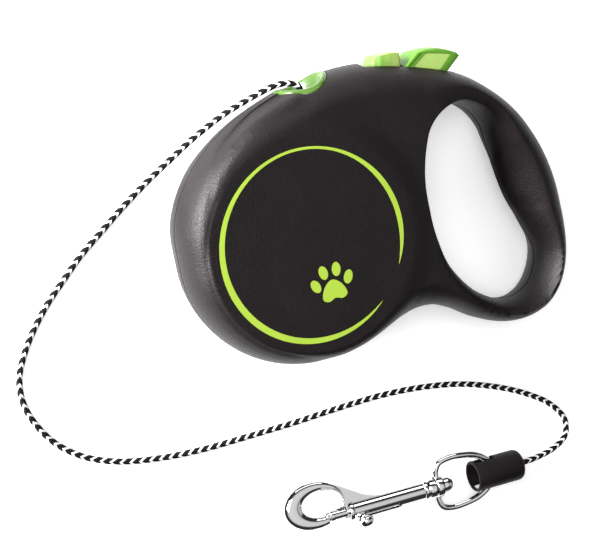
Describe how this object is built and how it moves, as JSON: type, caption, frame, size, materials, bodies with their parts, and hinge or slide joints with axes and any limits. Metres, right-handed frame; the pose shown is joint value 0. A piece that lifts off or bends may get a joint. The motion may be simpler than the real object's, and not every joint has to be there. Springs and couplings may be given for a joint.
{
  "type": "retractable dog leash",
  "caption": "Retractable cord leash: two-part case with loop handle, sprung spool, thumb brake with lock, free cord with cuff and swivelling bolt snap.",
  "frame": {"origin": "centre of the back disc's flat face, on the spool's axis", "axes": "+Z is the front face's outward normal, +X runs from the spool to the handle, +Y towards the thumb buttons"},
  "size_m": [0.2203, 0.1786, 0.032],
  "materials": {
    "shell_plastic": "fine spark-eroded grain, satin",
    "inner_plastic": "moulded, satin",
    "button_green": "moulded, silky",
    "outlet_green": "polished",
    "steel": "plain",
    "chrome": "bright plated",
    "cord_braid": "black and white herringbone braid",
    "cuff_rubber": "matt"
  },
  "bodies": {
    "root": {"case_front": "shell_plastic", "case_back": "shell_plastic", "outlet_guide": "outlet_green", "spool_axle": "steel", "case_screw_1": "steel", "case_screw_2": "steel", "case_screw_3": "steel", "case_screw_4": "steel", "brake_return_spring": "steel", "cord": "cord_braid", "cord_end_loop": "cord_braid", "cord_cuff": "cuff_rubber"},
    "spool": {"spool": "inner_plastic", "wound_cord": "cord_braid", "power_spring": "steel", "spring_cover": "inner_plastic"},
    "brake": {"brake_button": "button_green", "brake_pawl": "inner_plastic"},
    "lock": {"lock_slider": "button_green"},
    "ring": {"swivel_ring": "chrome"},
    "snap": {"hook_body": "chrome", "swivel_rivet": "chrome", "bolt_spring": "steel"},
    "bolt": {"snap_bolt": "chrome", "thumb_knob": "chrome"}
  },
  "joints": [
    {"name": "spool_spin", "type": "hinge", "parent": "root", "child": "spool", "pos_m": [0, 0, 0.016], "axis": [0, 0, 1], "range_deg": [-720, 9360]},
    {"name": "brake_press", "type": "slide", "parent": "root", "child": "brake", "axis": [0, -1, 0], "range_m": [0, 0.003], "stiffness_N_per_m": 600, "deforming": ["brake_return_spring"]},
    {"name": "lock_slide", "type": "slide", "parent": "root", "child": "lock", "axis": [-1, 0, 0], "range_m": [0, 0.003]},
    {"name": "ring_swing", "type": "hinge", "parent": "root", "child": "ring", "pos_m": [0.08648, -0.09485, 0.0054], "axis": [0.1564, -0.9877, 0], "range_deg": [-12, 12]},
    {"name": "snap_swivel", "type": "hinge", "parent": "ring", "child": "snap", "pos_m": [0.0685, -0.0977, 0.0054], "axis": [-0.9877, -0.1564, 0], "continuous": true},
    {"name": "bolt_slide", "type": "slide", "parent": "snap", "child": "bolt", "axis": [0.9877, 0.1564, 0], "range_m": [0, 0.01], "stiffness_N_per_m": 150, "deforming": ["bolt_spring"]}
  ]
}
